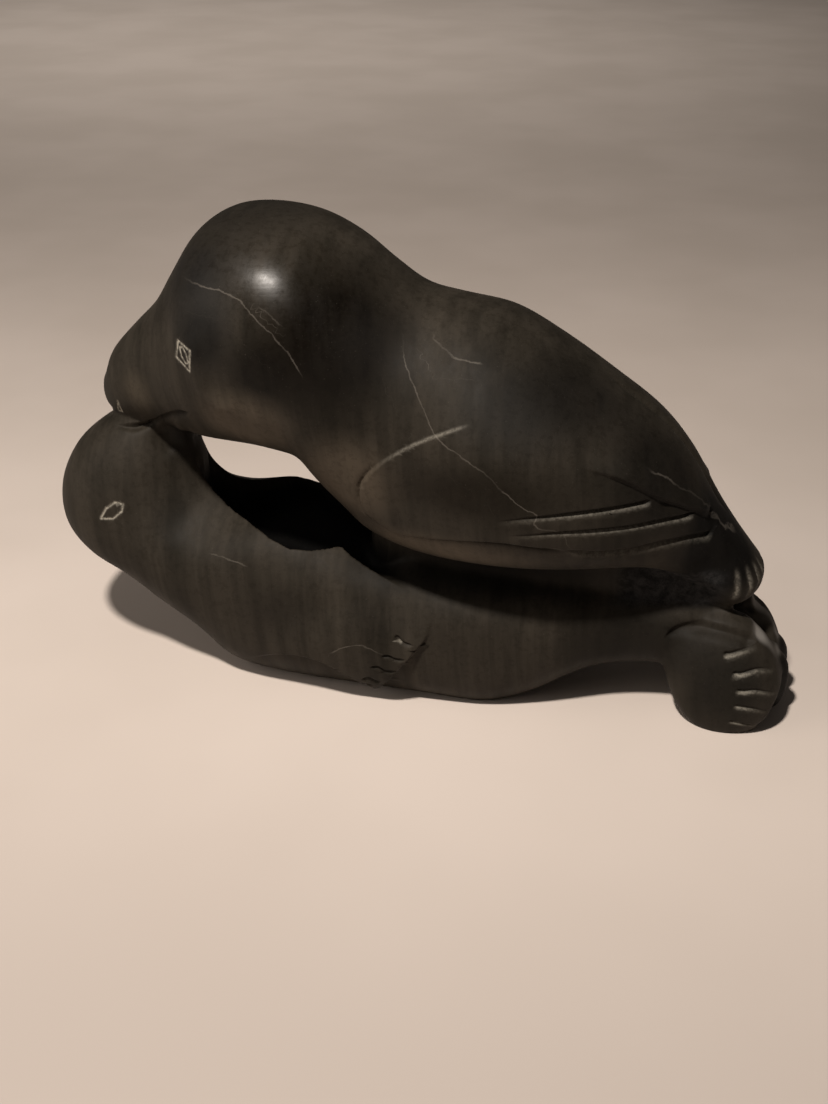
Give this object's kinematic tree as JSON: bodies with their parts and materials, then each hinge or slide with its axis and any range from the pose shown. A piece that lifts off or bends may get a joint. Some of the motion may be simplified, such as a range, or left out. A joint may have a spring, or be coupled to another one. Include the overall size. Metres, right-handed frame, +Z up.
{
  "type": "stone seal carving",
  "caption": "Polished dark stone carving of one seal lying belly down on another, cut from a single block, snout to snout, with an open gap under the upper one's neck.",
  "frame": {"origin": "middle of the bounding box's underside, on the flat that the lower seal's belly rests on", "axes": "+X from the heads towards the tails, +Z up, the carving is alike on both sides of Y = 0"},
  "size_m": [0.3104, 0.0986, 0.1937],
  "materials": {
    "dark_polished_stone": "satin polished, brown-black with soft upright streaks and thin pale veins"
  },
  "bodies": {
    "root": {"stone_seal_carving": "dark_polished_stone"}
  },
  "joints": []
}
